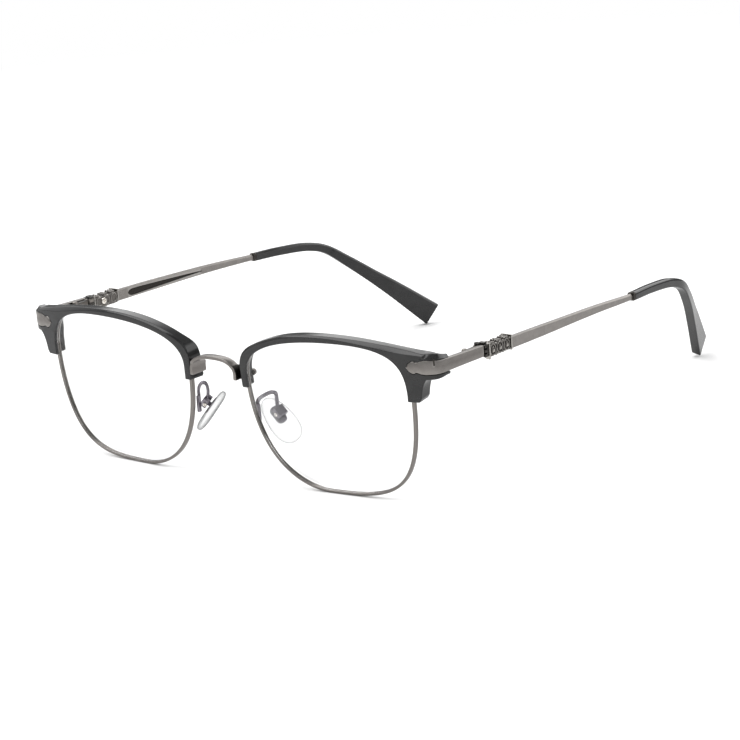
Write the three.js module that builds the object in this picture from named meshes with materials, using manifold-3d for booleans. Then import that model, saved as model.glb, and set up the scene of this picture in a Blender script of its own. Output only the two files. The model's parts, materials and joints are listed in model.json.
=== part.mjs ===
// Half rim (browline) eyeglasses: a metal rim round each lens, a black acetate brow over each upper half,
// a metal bridge and end pieces, nose pads on wires, and temples that fold on three-knuckle hinges.
// Millimetres. +X is the wearer's left, the front faces -Y, +Z is up, and z = 0 is the table on which
// the rims and the temple tips rest. Everything but the bridge is built for the left side and mirrored, with
// y = 0 at the front; the finished group is then moved so that its origin is under the middle of the object.
import * as THREE from "three";
import { mergeVertices } from "three/addons/utils/BufferGeometryUtils.js";
import Module from "manifold-3d";

// ---- Driving dimensions -------------------------------------------------------------------------
const LENS_WIDTH = 51; // boxed width of a lens
const LENS_HEIGHT = 42.5; // boxed height of a lens
const LENS_DISTANCE = 20; // between the two lenses, at the bridge
const LENS_RADIUS = 217; // base curve of the lenses and of the whole front
const LENS_THICKNESS = 1.2;
const WRAP = THREE.MathUtils.degToRad(4); // each front half turns back towards its temple
const TILT = THREE.MathUtils.degToRad(5.9); // the top of the front leans forwards
const FRONT_HEIGHT = 21.5; // height of a lens centre over the table
const FRONT_PLACE = -0.2; // y of a lens centre

const RIM_INSIDE = -0.3; // rim wire, across the plane of the lens, from its guide line
const RIM_OUTSIDE = 0.5;
const RIM_FRONT = -0.6; // rim wire, front face, measured along the lens axis
const RIM_BACK = 0.8;
const RIM_SPLIT = 0.016; // where the rim opens at its closing block, as a share of its length

const BROW_FRONT = -1.6; // front face of the brow, along the lens axis
const BROW_BACK = 1.8; // back of the brow over the middle of the lens
const BROW_DEEPER = 1; // how much further back it goes at the nasal foot and the lug
const BROW_OVERHANG = 0.73; // how far the front of the brow reaches over the lens

const MIDDLE = 77.7; // y of the middle of the whole object, open, from the front

const END_THICKNESS = 1.45; // metal end piece
const HINGE = new THREE.Vector3(66.9, 22.95, 36.7); // hinge axis, vertical, middle of the knuckles
const KNUCKLE_RADIUS = 1;
const HINGE_HEIGHT = 3.2;
const PIN_RADIUS = 0.4;

const TEMPLE_LENGTH = 148; // hinge to the end of the tip, along the curve
const BAR_END = 94.5; // y where the bar enters the tip
const BAR_THICKNESS = 1.3;

const PAD_CENTRE = new THREE.Vector3(11.8, 8.2, 15.8);
const PAD_SPLAY = THREE.MathUtils.degToRad(-26); // turns the pad's face to the side of the nose
const PAD_FLARE = THREE.MathUtils.degToRad(-38); // leans the pad's top inwards
const PAD_LEAN = THREE.MathUtils.degToRad(18); // leans the pad's top forwards
const PAD_HEIGHT = 14.2;
const PAD_WIDTH = 8.2;
const PAD_THICKNESS = 2.2;

const FIT = 0.05; // clearance between pieces that sit in one another
const UP = new THREE.Vector3(0, 0, 1);

// ---- Geometry helpers ---------------------------------------------------------------------------
const wasm = await Module();
wasm.setup();

// Joins rings of points (Vector3, equally many in each) into one closed skin. An open row of rings is
// capped at both ends by fans from each ring's first point.
function loft(rings, closed = false) {
  const size = rings[0].length;
  const index = [];
  const spans = closed ? rings.length : rings.length - 1;
  for (let i = 0; i < spans; i++) {
    const here = i * size;
    const next = ((i + 1) % rings.length) * size;
    for (let j = 0; j < size; j++) {
      const k = (j + 1) % size;
      index.push(here + j, here + k, next + j, here + k, next + k, next + j);
    }
  }
  const last = (rings.length - 1) * size;
  for (let j = 1; j < size - 1 && !closed; j++) {
    index.push(0, j + 1, j, last, last + j, last + j + 1);
  }
  const geometry = new THREE.BufferGeometry().setFromPoints(rings.flat());
  geometry.setIndex(index);
  return facingOut(geometry);
}

// Turns every triangle round if the skin's signed volume is negative.
function facingOut(geometry) {
  const index = geometry.index.array;
  const corner = (i) => new THREE.Vector3().fromBufferAttribute(geometry.attributes.position, index[i]);
  let volume = 0;
  for (let i = 0; i < index.length; i += 3) {
    volume += corner(i).dot(corner(i + 1).cross(corner(i + 2)));
  }
  if (volume < 0) {
    for (let i = 0; i < index.length; i += 3) [index[i], index[i + 1]] = [index[i + 1], index[i]];
  }
  return geometry;
}

function toSolid(geometry) {
  const bare = new THREE.BufferGeometry();
  bare.setAttribute("position", geometry.attributes.position);
  bare.setIndex(geometry.index);
  const merged = mergeVertices(bare, 1e-3);
  const mesh = new wasm.Mesh({
    numProp: 3,
    vertProperties: new Float32Array(merged.attributes.position.array),
    triVerts: new Uint32Array(merged.index.array),
  });
  return new wasm.Manifold(mesh);
}

function toGeometry(solid) {
  const mesh = solid.getMesh();
  const geometry = new THREE.BufferGeometry();
  geometry.setAttribute("position", new THREE.BufferAttribute(mesh.vertProperties, 3));
  geometry.setIndex(new THREE.BufferAttribute(mesh.triVerts, 1));
  return geometry;
}

const join = (first, ...others) => toGeometry(others.reduce((a, b) => a.add(toSolid(b)), toSolid(first)));
const cut = (first, ...others) =>
  toGeometry(others.reduce((a, b) => a.subtract(toSolid(b)), toSolid(first)));

function box(x, y, z, at = [0, 0, 0]) {
  return new THREE.BoxGeometry(x, y, z).translate(...at);
}

// A cylinder along one axis ("x", "y" or "z").
function rod(radius, length, axis, at = [0, 0, 0], sides = 12) {
  const geometry = new THREE.CylinderGeometry(radius, radius, length, sides);
  if (axis === "x") geometry.rotateZ(Math.PI / 2);
  if (axis === "z") geometry.rotateX(Math.PI / 2);
  return geometry.translate(...at);
}

// A rectangle with cut corners, as points across (a) and up (b).
function plateSection(width, height, corner) {
  const a = width / 2;
  const b = height / 2;
  return [
    [a, b - corner], [a - corner, b], [corner - a, b], [-a, b - corner],
    [-a, corner - b], [corner - a, -b], [a - corner, -b], [a, corner - b],
  ];
}

function roundSection(radius, sides = 8) {
  const turn = (2 * Math.PI) / sides;
  return Array.from({ length: sides }, (_, i) => [radius * Math.cos(i * turn), radius * Math.sin(i * turn)]);
}

const range = (from, to, count) =>
  Array.from({ length: count + 1 }, (_, i) => from + ((to - from) * i) / count);

// Straight-line reading of a table of [place, value] pairs.
function readTable(table, place) {
  const next = table.findIndex(([at]) => at >= place);
  if (next <= 0) return table[next < 0 ? table.length - 1 : 0][1];
  const [a, low] = table[next - 1];
  const [b, high] = table[next];
  return low + ((high - low) * (place - a)) / (b - a);
}

// Sweeps a section along a curve. Places are millimetres along it; section(place) gives [across, up]
// points. Across is level unless a fixed direction is given.
function sweep(curve, places, section, across) {
  const length = curve.getLength();
  const rings = places.map((place) => {
    const centre = curve.getPointAt(Math.min(place / length, 1));
    const tangent = curve.getTangentAt(Math.min(place / length, 1));
    const side = across ? across.clone() : tangent.clone().cross(UP).normalize();
    const up = side.clone().cross(tangent).normalize();
    return section(place).map(([a, b]) => centre.clone().addScaledVector(side, a).addScaledVector(up, b));
  });
  return loft(rings);
}

// ---- The eye shape, in the plane of the lens: u to the temple, v up ------------------------------
// Four Bezier quarters between the outermost points; each number is how far a handle reaches to the
// corner of the box round its quarter.
const HALF = LENS_WIDTH / 2 + 0.1; // centre line of the rim, which stands 0.1 outside the boxed lens
const TEMPORAL = [HALF, 8];
const TOP = [4, LENS_HEIGHT / 2 + 0.1];
const NASAL = [-HALF, 9.7];
const BOTTOM = [-3.5, 0.06 - LENS_HEIGHT / 2];

function eyeCurve() {
  const path = new THREE.Path();
  const quarter = (a, b, corner, reachA, reachB) => {
    const handle = (p, reach) => [p[0] + (corner[0] - p[0]) * reach, p[1] + (corner[1] - p[1]) * reach];
    path.bezierCurveTo(...handle(a, reachA), ...handle(b, reachB), ...b);
  };
  path.moveTo(...TEMPORAL);
  quarter(TEMPORAL, TOP, [TEMPORAL[0], TOP[1]], 0.76, 0.71);
  quarter(TOP, NASAL, [NASAL[0], TOP[1]], 0.46, 0.79);
  quarter(NASAL, BOTTOM, [NASAL[0], BOTTOM[1]], 1, 0.07);
  quarter(BOTTOM, TEMPORAL, [TEMPORAL[0], BOTTOM[1]], 0.62, 1);
  return path;
}
const EYE = eyeCurve();

// The point of the eye shape at a share of its length, moved outwards by an offset.
function eyePoint(share, offset) {
  const at = ((share % 1) + 1) % 1;
  const point = EYE.getPointAt(at);
  const tangent = EYE.getTangentAt(at);
  return new THREE.Vector2(point.x + tangent.y * offset, point.y - tangent.x * offset);
}

// Bends flat work in the lens plane (x = u, y = depth, z = v) onto the base curve.
function bend(geometry) {
  const p = geometry.attributes.position;
  for (let i = 0; i < p.count; i++) {
    p.setY(i, p.getY(i) + (p.getX(i) ** 2 + p.getZ(i) ** 2) / (2 * LENS_RADIUS));
  }
  return geometry;
}

// A ring or an arc of section points [outwards, depth] along the eye shape.
function alongEye(section, shares, closed) {
  const rings = shares.map((share) =>
    section.map(([offset, depth]) => {
      const { x, y } = eyePoint(share, offset);
      return new THREE.Vector3(x, depth, y);
    }),
  );
  return bend(loft(rings, closed));
}

// ---- Rim, lens and closing block -------------------------------------------------------------------
const BLOCK_U = [HALF + 0.7, HALF + 3.6]; // closing block, across
const BLOCK_SPLIT = 10.35; // height of the joint between its two halves
const BLOCK_DEPTH = [-0.7, 2.6];
const CLOSING_SCREW = { u: HALF + 2.2, depth: 1, radius: 0.6 };

const SPLIT_GAP = 0.001; // half of the opening, as a share of the rim's length
const RIM_SHARES = range(RIM_SPLIT + SPLIT_GAP, 1 + RIM_SPLIT - SPLIT_GAP, 66);

function rim() {
  const section = [
    [RIM_INSIDE + 0.25, 0.1], [RIM_INSIDE, 0.4], [RIM_INSIDE, RIM_BACK], [RIM_OUTSIDE, RIM_BACK],
    [RIM_OUTSIDE, RIM_FRONT], [RIM_INSIDE, RIM_FRONT], [RIM_INSIDE, -0.2],
  ];
  return alongEye(section, RIM_SHARES, false);
}

function lens() {
  const shares = RIM_SHARES.filter((_, i) => i % 2 === 0).slice(0, -1);
  const ring = (scale, offset, depth) =>
    shares.map((share) => {
      const { x, y } = eyePoint(share, offset);
      return new THREE.Vector3(x * scale, depth, y * scale);
    });
  const middle = 0.1; // depth of the middle of the lens edge, in line with the rim's groove
  const [front, back] = [middle - LENS_THICKNESS / 2, middle + LENS_THICKNESS / 2];
  const inside = [0.12, 0.55];
  const edge = 0.4; // how far the flat edge lies inside the rim's guide line
  const rings = [
    ...inside.map((scale) => ring(scale, -edge, front)),
    ring(1, -edge, front),
    ring(1, -edge, middle - 0.25),
    ring(1, RIM_INSIDE + 0.18, middle),
    ring(1, -edge, middle + 0.25),
    ring(1, -edge, back),
    ...inside.toReversed().map((scale) => ring(scale, -edge, back)),
  ];
  return bend(loft(rings));
}

function closingBlock(low, high) {
  const block = box(
    BLOCK_U[1] - BLOCK_U[0], BLOCK_DEPTH[1] - BLOCK_DEPTH[0], high - low,
    [(BLOCK_U[0] + BLOCK_U[1]) / 2, (BLOCK_DEPTH[0] + BLOCK_DEPTH[1]) / 2, (low + high) / 2],
  );
  const { u, depth, radius } = CLOSING_SCREW;
  return bend(cut(block, rod(radius + FIT, 4 * (high - low), "z", [u, depth, low])));
}

function closingScrew() {
  const { u, depth, radius } = CLOSING_SCREW;
  const head = rod(1, 0.5, "z", [u, depth, 7.85]);
  const slot = box(0.3, 3, 0.4, [u, depth, 7.6]);
  return bend(cut(join(head, rod(radius, 4.5, "z", [u, depth, 10.2])), slot));
}

// ---- Metal end piece: an arrow-tipped strip that turns the corner back to the hinge ----------------
const END_TABLE = [
  [0, 0.5], [1.4, 3.2], [1.9, 3.2], [2.5, 2.5], [3.4, 3.1], [5, 3.75], [9, 3.6], [14, 3.3], [30, 2.9],
];
const END_SIDE = 69.45; // x of its outer face beside the temple
const END_BACK = 22.15;

// Plan of the outer face, from the arrow's point round to the hinge.
function endPlan() {
  const plan = new THREE.CurvePath();
  const point = (x, y, z) => new THREE.Vector3(x, y, z);
  plan.add(new THREE.LineCurve3(point(61.1, 0.2, 37.3), point(65.6, 1.2, 37.45)));
  plan.add(new THREE.CubicBezierCurve3(
    point(65.6, 1.2, 37.45), point(68.6, 1.9, 37.55), point(END_SIDE, 3.2, 37.5), point(END_SIDE, 6, 37.4),
  ));
  plan.add(new THREE.LineCurve3(point(END_SIDE, 6, 37.4), point(END_SIDE, END_BACK, 36.95)));
  return plan;
}
const END_PLAN = endPlan();
const CORNER_PLACES = [6, 7, 8, 9, 10, 11, 12];

function endPiece(grow) {
  const places = [...END_TABLE.map(([place]) => place).filter((place) => place < 6), ...CORNER_PLACES];
  const section = (place) => {
    const height = readTable(END_TABLE, place) + 2 * grow;
    const inward = END_THICKNESS + 2 * grow;
    const corner = grow ? 0.02 : 0.22;
    return plateSection(inward, height, corner).map(([a, b]) => [a - END_THICKNESS / 2, b]);
  };
  return sweep(END_PLAN, [...places, END_PLAN.getLength()], section);
}

// ---- Brow ------------------------------------------------------------------------------------------
const FOOT_NASAL = 5.7; // v of the lower end beside the nose
const FOOT_TEMPORAL = 6.6; // v of the lower end of the lug

// Outline at the front face (share 0) or the back face (share 1): up the nose side, over the top, down
// the lug, and back along the rim. Towards the back the nasal foot spreads and the top falls.
function browOutline(share) {
  const spread = 0.8 * share;
  const fall = 0.6 * share;
  const shape = new THREE.Shape();
  shape.moveTo(-25.3, FOOT_NASAL);
  shape.quadraticCurveTo(-26.7 - spread, FOOT_NASAL - 0.1, -26.8 - spread, FOOT_NASAL + 1.2);
  shape.lineTo(-27 - spread / 2, 10.5);
  shape.bezierCurveTo(-27.2, 15.6 - fall, -24.2, 17 - fall, -20.2, 18.7 - fall);
  shape.bezierCurveTo(-13.5, 21.4 - fall, -7, 22.4 - fall, 1, 22.4 - fall);
  shape.bezierCurveTo(11, 22.4 - fall, 18, 21.3 - fall, 30.6, 19.1 - fall);
  shape.lineTo(30.9, 12.6);
  shape.bezierCurveTo(29.6, 11.4, 29.2, 10, 28.7, FOOT_TEMPORAL + 0.9);
  shape.quadraticCurveTo(28.4, FOOT_TEMPORAL - 0.1, 27.4, FOOT_TEMPORAL - 0.1);
  shape.lineTo(25, FOOT_TEMPORAL);
  range(-0.004, 0.43, 34)
    .map((place) => eyePoint(place, -BROW_OVERHANG))
    .forEach((p) => shape.lineTo(p.x, p.y));
  return shape.getPoints(7).toReversed();
}

// Joins the front and back outlines and closes both faces.
function browBody() {
  const [front, back] = [browOutline(0), browOutline(1)];
  const deeper = (v) => BROW_DEEPER * (1 - THREE.MathUtils.smoothstep(v, 13, 20));
  const points = [
    ...front.map((p) => new THREE.Vector3(p.x, BROW_FRONT, p.y)),
    ...back.map((p) => new THREE.Vector3(p.x, BROW_BACK + deeper(p.y), p.y)),
  ];
  const size = front.length;
  const index = [];
  for (let i = 0; i < size; i++) {
    const j = (i + 1) % size;
    index.push(i, j, size + i, j, size + j, size + i);
  }
  THREE.ShapeUtils.triangulateShape(front, []).forEach(([a, b, c]) => {
    index.push(a, c, b, size + a, size + b, size + c);
  });
  return facingOut(new THREE.BufferGeometry().setFromPoints(points).setIndex(index));
}

// The brow's outer corner, which wraps back beside the end piece and forks round it.
function browCorner() {
  const table = [
    [3.6, 6.2], [5, 6.1], [8, 5.4], [11, 5], [12.6, 4.6],
  ];
  const section = (place) =>
    plateSection(3, readTable(table, place), 0.5).map(([a, b]) => [a - 1.5 - 0.15, b]);
  return sweep(END_PLAN, [3.6, 5, 6, 7, 8, 9, 10, 11, 12.6], section);
}

function brow(lensFrame) {
  const toLensFrame = lensFrame.clone().invert();
  const corner = browCorner().applyMatrix4(toLensFrame);
  const channel = endPiece(FIT).applyMatrix4(toLensFrame);
  // Room for the rim, and behind it a step back from the lens.
  const step = 0.1;
  const grooveSection = [
    [RIM_OUTSIDE + FIT, RIM_FRONT - FIT], [RIM_OUTSIDE + FIT, RIM_BACK + FIT], [step, RIM_BACK + FIT],
    [step, 5], [-1.4, 5], [-1.4, RIM_FRONT - FIT],
  ];
  const groove = alongEye(grooveSection, RIM_SHARES, true);
  const pocket = bend(box(4.2, 6, 5.4, [HALF + 2, BLOCK_DEPTH[0] - 0.2 + 3, 10.3]));
  const notch = join(box(4, 2.1, 1.9, [8.9, 0.4, 31.7]), box(2, 8, 7, [6.9, 0, 31.1]));
  notch.applyMatrix4(toLensFrame);
  const body = join(bend(browBody()), corner);
  return cut(body, channel, groove, pocket, notch, browRivet(FIT), browScrew(FIT));
}

// Rivet from the end piece through the brow, with its head behind.
const RIVET = { u: 28.6, v: 15.9 };
function browRivet(grow) {
  const { u, v } = RIVET;
  const back = BROW_BACK + 0.6;
  const head = rod(1.1 + grow, 0.5 + 2 * grow, "y", [u, back + 0.3, v]);
  return bend(join(head, rod(0.5 + grow, 2.4, "y", [u, back - 1.1, v])));
}

// Screw behind the nasal foot that holds the brow on the rim.
function browScrew(grow) {
  const [u, v] = [-26.1, 8.4];
  const back = BROW_BACK + BROW_DEEPER;
  const head = rod(0.85 + grow, 0.8 + 2 * grow, "y", [u, back + 0.45, v]);
  const shank = rod(0.4 + grow, 1.8, "y", [u, back - 0.6, v]);
  const slot = box(0.25, 0.5, 3, [u, back + 0.95, v]);
  return bend(cut(join(head, shank), slot));
}

// ---- Bridge ----------------------------------------------------------------------------------------
// An arched strip whose ends turn down into plates beside the nasal feet.
function bridge() {
  const half = [[7.4, 29.5], [7.35, 31.4], [6.6, 33], [4.5, 34.15], [0, 34.6]];
  const right = half.map(([x, z]) => new THREE.Vector3(x, 0, z));
  const left = half.slice(0, -1).map(([x, z]) => new THREE.Vector3(-x, 0, z));
  const curve = new THREE.CatmullRomCurve3([...right, ...left.toReversed()], false, "centripetal");
  const length = curve.getLength();
  const section = (place) => {
    const share = Math.abs((2 * place) / length - 1); // 0 at the crown, 1 at the plates
    const widen = THREE.MathUtils.smoothstep(share, 0.55, 0.85);
    const deep = 2.6 + 3.3 * widen;
    return plateSection(deep, 0.9, 0.2).map(([a, b]) => [a + deep / 2 - 4.1 + 0.2 * widen, b]);
  };
  const strip = sweep(curve, range(0, length, 28), section, new THREE.Vector3(0, 1, 0));
  const lug = (side) => box(1.3, 1.8, 1.6, [side * 8.4, 0.4, 31.7]); // reaches through the brow to the rim
  return join(strip, lug(1), lug(-1));
}

// ---- Hinge -----------------------------------------------------------------------------------------
// Both halves are built round the hinge axis: x across, y along the temple, z up, from HINGE.
const LEVEL = HINGE_HEIGHT / 3; // height of one knuckle

function knuckle(middle, height) {
  return rod(KNUCKLE_RADIUS, height, "z", [0, 0, middle], 20);
}

function frontLeaf() {
  const plate = box(1.4, 8, HINGE_HEIGHT + 0.5, [0.3, -5.15, 0.3]);
  const arm = (middle) => box(1.2, 1.6, LEVEL - FIT, [0.3, -0.8, middle]);
  const knuckles = [-LEVEL, LEVEL].flatMap((middle) => [knuckle(middle, LEVEL - FIT), arm(middle)]);
  return cut(join(plate, ...knuckles), rod(PIN_RADIUS + FIT, 9, "z"));
}

function hingeScrew() {
  const top = HINGE_HEIGHT / 2;
  const shank = rod(PIN_RADIUS, HINGE_HEIGHT + 0.3, "z", [0, 0, 0.1]);
  const head = rod(0.85, 0.5, "z", [0, 0, top + 0.27]);
  return cut(join(shank, head), box(0.25, 3, 0.4, [0, 0, top + 0.5]));
}

function templeLeaf() {
  const tongue = box(0.9, 2.4, LEVEL - FIT, [0.3, 1.2, 0]);
  const plate = box(0.9, 8, 2.4, [0.3, 6.1, -0.25]);
  return cut(join(knuckle(0, LEVEL - FIT), tongue, plate), rod(PIN_RADIUS + FIT, 9, "z"), ornamentHole());
}

// ---- Temple ----------------------------------------------------------------------------------------
const ORNAMENT = { front: 1.1, back: 10.8, low: -2.45, high: 1.75, inner: -0.6, outer: 2.95 };
const MOTIFS = 3;
const ORNAMENT_SCREW = { y: 5, z: -0.2 };

function ornamentHole() {
  return rod(0.45, 1.6, "x", [-0.2, ORNAMENT_SCREW.y, ORNAMENT_SCREW.z]);
}

// Carved sleeve behind the hinge: a flange at each end and a row of raised motifs between them.
function ornament() {
  const { front, back, low, high, inner, outer } = ORNAMENT;
  const [across, tall, middle] = [outer - inner, high - low, (high + low) / 2];
  const centre = (inner + outer) / 2;
  const body = box(across - 0.3, back - front - 0.4, tall - 0.6, [centre - 0.15, (front + back) / 2, middle]);
  const flange = (y) => box(across, 0.6, tall, [centre, y, middle]);
  const pitch = (back - front - 1.2) / MOTIFS;
  const studs = range(0, MOTIFS - 1, MOTIFS - 1).flatMap((i) => {
    const y = front + 0.6 + pitch * (i + 0.5);
    return [
      new THREE.SphereGeometry(0.9, 10, 6).scale(0.6, 1.2, 1.3).translate(outer - 0.35, y, middle),
      rod(pitch * 0.46, across - 0.8, "x", [centre, y, high - 1.45], 12),
    ];
  });
  const cavity = box(2.57, 12, 3.05, [1.075, front + 5.6, -0.375]);
  return cut(join(body, flange(front + 0.3), flange(back - 0.3), ...studs), cavity, ornamentHole());
}

function ornamentScrew() {
  const { y, z } = ORNAMENT_SCREW;
  const { inner } = ORNAMENT;
  const head = rod(0.95, 0.4, "x", [inner - 0.22, y, z]);
  const shank = rod(0.35, 1, "x", [inner + 0.45, y, z]);
  const cross = [box(0.3, 1.3, 0.25, [inner - 0.4, y, z]), box(0.3, 0.25, 1.3, [inner - 0.4, y, z])];
  return cut(join(head, shank), ...cross);
}

// Middle line of the temple from the ornament to the end of the tip, from HINGE.
function templeCurve() {
  const places = [
    [68.55, 27.6, 36.2], [68.5, 50, 35.7], [67.9, 75, 35], [67.2, BAR_END, 34], [66, 106, 33.5],
    [64.7, 118, 32.2], [63.8, 125.2, 29.9], [61.2, 132.2, 24.9], [55.6, 143.8, 15.1], [48.8, 157.4, 2.35],
  ];
  return new THREE.CatmullRomCurve3(places.map((p) => new THREE.Vector3(...p).sub(HINGE)));
}
const TEMPLE = templeCurve();
const FRONT_RUN = 27.6 - HINGE.y; // hinge to the start of the bar
const BAR_LENGTH = BAR_END - 27.6;
const TIP_END = TEMPLE_LENGTH - FRONT_RUN;

const WIRE_RADIUS = 0.55; // the bar goes on as a round core wire inside the tip
const WIRE_PLACES = range(BAR_LENGTH - 1, TIP_END - 9, 16);

function wireHole() {
  return sweep(TEMPLE, [...WIRE_PLACES, TIP_END - 8.7], () => roundSection(WIRE_RADIUS + FIT));
}

function bar() {
  const height = [[0, 2.4], [8, 2.4], [8.5, 3.2], [40, 2.5], [BAR_LENGTH, 1.7]];
  const section = (place) => plateSection(BAR_THICKNESS, readTable(height, place), 0.3);
  const places = [0, 8, 8.5, ...range(16, BAR_LENGTH, 8)];
  return join(sweep(TEMPLE, places, section), sweep(TEMPLE, WIRE_PLACES, () => roundSection(WIRE_RADIUS)));
}

function collar() {
  const places = [BAR_LENGTH + 0.1, BAR_LENGTH + 1.1];
  const ring = sweep(TEMPLE, places, () => plateSection(2.3, 2.4, 0.6));
  return cut(ring, wireHole());
}

// Acetate tip: slim where it starts, widening to a paddle whose end is cut on the slant.
function tip() {
  const start = BAR_LENGTH + 1.15;
  const height = [[start, 2.2], [start + 27, 2.5], [start + 42, 3.4], [TIP_END, 6.2]];
  const across = [[start, 2.2], [start + 27, 2.4], [TIP_END, 2.9]];
  const section = (place) => {
    const size = [readTable(across, place), readTable(height, place)];
    return plateSection(...size, 0.6);
  };
  const body = sweep(TEMPLE, [start, ...range(start + 6, TIP_END, 18)], section);
  return cut(body, wireHole());
}

// ---- Nose pad, in its own frame: x away from the nose, y back, z along the pad ---------------------
const PAD_BOX = { x: 2.5, y: 0, z: 1.3 };

function padOutline(scale) {
  const shape = new THREE.Shape();
  const [w, h] = [(PAD_WIDTH / 2) * scale, (PAD_HEIGHT / 2) * scale];
  shape.moveTo(0, -h);
  shape.bezierCurveTo(w * 0.9, -h, w * 1.05, -h * 0.5, w, -h * 0.1);
  shape.bezierCurveTo(w * 0.9, h * 0.6, w * 0.5, h, 0, h);
  shape.bezierCurveTo(-w * 0.5, h, -w * 0.9, h * 0.6, -w, -h * 0.1);
  shape.bezierCurveTo(-w * 1.05, -h * 0.5, -w * 0.9, -h, 0, -h);
  return shape.getSpacedPoints(32).slice(0, -1);
}

function pad() {
  const half = PAD_THICKNESS / 2;
  const layer = (x, scale) => padOutline(scale).map((p) => new THREE.Vector3(x, p.x, p.y));
  const rings = [layer(-half, 0.72), layer(-half * 0.5, 0.97), layer(half * 0.5, 1), layer(half, 0.8)];
  return cut(loft(rings), box(1.6, 3.4, 5.4, [half + 0.2, 0, PAD_BOX.z]));
}

function padInsert() {
  const half = PAD_THICKNESS / 2;
  const plate = box(0.6, 3.2, 5.2, [half - 0.2, 0, PAD_BOX.z]);
  const ear = rod(0.62, 0.8, "y", [PAD_BOX.x - 0.1, 0, PAD_BOX.z]);
  const neck = box(1.2, 0.8, 1, [half + 0.5, 0, PAD_BOX.z]);
  return cut(join(plate, neck, ear), rod(0.3 + FIT, 4, "y", [PAD_BOX.x - 0.1, 0, PAD_BOX.z]));
}

function padBox() {
  const { x, z } = PAD_BOX;
  const shell = box(1.7, 2.5, 2.4, [x + 0.25, 0, z]);
  const slot = box(2.2, 0.95, 4, [x - 0.5, 0, z]);
  return cut(shell, slot, rod(0.3 + FIT, 4, "y", [x - 0.1, 0, z]));
}

function padScrew() {
  const at = [PAD_BOX.x - 0.1, 0, PAD_BOX.z];
  const shank = rod(0.3, 2.6, "y", at);
  const head = rod(0.6, 0.4, "y", [at[0], -1.48, at[2]]);
  return cut(join(shank, head), box(1.6, 0.3, 0.2, [at[0], -1.7, at[2]]));
}

// Wire from its foot on the rim, back in a loop, and down to the back of the pad box.
function padArm(boxEnd) {
  const loop = [[10.2, 1.7, 20.7], [10.1, 2.7, 22.4], [10.6, 4.4, 23.3], [11.2, 6.2, 23]];
  const places = [...loop.map((p) => new THREE.Vector3(...p)), ...boxEnd];
  const curve = new THREE.CatmullRomCurve3(places);
  const wire = sweep(curve, range(0, curve.getLength(), 20), () => roundSection(0.45, 6), ACROSS_ARM);
  const foot = box(0.9, 1.1, 4.4, [10.35, 1.5, 19.6]);
  return join(wire, foot);
}
const ACROSS_ARM = new THREE.Vector3(0.85, -0.5, 0.1).normalize();

// ---- Materials -------------------------------------------------------------------------------------
function material(color, roughness, metalness, extra = {}) {
  return new THREE.MeshStandardMaterial({ color, roughness, metalness, ...extra });
}
const acetate = () => material(0x1c1d1e, 0.18, 0);
const gunmetal = () => material(0x77716d, 0.32, 1);
const darkSteel = () => material(0x35322f, 0.4, 1);
const brass = () => material(0xb59a6a, 0.3, 1);
const clearLens = () => material(0xf4f8fa, 0.05, 0, { transparent: true, opacity: 0.2 });
const silicone = () => material(0xf0f0f0, 0.35, 0, { transparent: true, opacity: 0.6 });

// ---- Assembly --------------------------------------------------------------------------------------
function add(group, name, geometry, finish) {
  const mesh = new THREE.Mesh(geometry, finish);
  mesh.name = name;
  group.add(mesh);
}

function buildFront(side) {
  const group = new THREE.Group();
  group.position.set((LENS_WIDTH + LENS_DISTANCE) / 2, FRONT_PLACE, FRONT_HEIGHT);
  group.rotation.set(TILT, 0, WRAP, "ZXY");
  group.updateMatrix();
  add(group, side + "_brow", brow(group.matrix), acetate());
  add(group, side + "_rim", rim(), gunmetal());
  add(group, side + "_lens", lens(), clearLens());
  add(group, side + "_closing_block_lower", closingBlock(8.2, BLOCK_SPLIT - 0.15), gunmetal());
  add(group, side + "_closing_block_upper", closingBlock(BLOCK_SPLIT + 0.15, 12.7), gunmetal());
  add(group, side + "_closing_screw", closingScrew(), darkSteel());
  add(group, side + "_brow_rivet", browRivet(0), gunmetal());
  add(group, side + "_brow_screw", browScrew(0), gunmetal());
  return group;
}

function buildHinge(side) {
  const group = new THREE.Group();
  group.position.copy(HINGE);
  add(group, side + "_hinge_front_leaf", frontLeaf(), gunmetal());
  add(group, side + "_hinge_screw", hingeScrew(), darkSteel());
  return group;
}

function buildTemple(side) {
  const group = new THREE.Group();
  group.position.copy(HINGE);
  add(group, side + "_hinge_temple_leaf", templeLeaf(), gunmetal());
  add(group, side + "_ornament", ornament(), darkSteel());
  add(group, side + "_ornament_screw", ornamentScrew(), brass());
  add(group, side + "_temple_bar", bar(), gunmetal());
  add(group, side + "_tip_collar", collar(), darkSteel());
  add(group, side + "_temple_tip", tip(), acetate());
  return group;
}

function buildPad(side) {
  const group = new THREE.Group();
  group.position.copy(PAD_CENTRE);
  group.rotation.set(PAD_LEAN, PAD_FLARE, PAD_SPLAY, "ZYX");
  add(group, side + "_pad_box", padBox(), gunmetal());
  add(group, side + "_pad_screw", padScrew(), brass());
  add(group, side + "_pad_insert", padInsert(), gunmetal());
  add(group, side + "_nose_pad", pad(), silicone());
  return group;
}

function buildSide(side) {
  const group = new THREE.Group();
  const padGroup = buildPad(side);
  padGroup.updateMatrix();
  const boxEnd = [2.7, 1.35].map((away) =>
    new THREE.Vector3(PAD_BOX.x + away, PAD_BOX.y, PAD_BOX.z + 0.3).applyMatrix4(padGroup.matrix),
  );
  add(group, side + "_pad_arm", padArm(boxEnd), gunmetal());
  add(group, side + "_end_piece", endPiece(0), gunmetal());
  group.add(buildFront(side), buildHinge(side), buildTemple(side), padGroup);
  return group;
}

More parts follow.
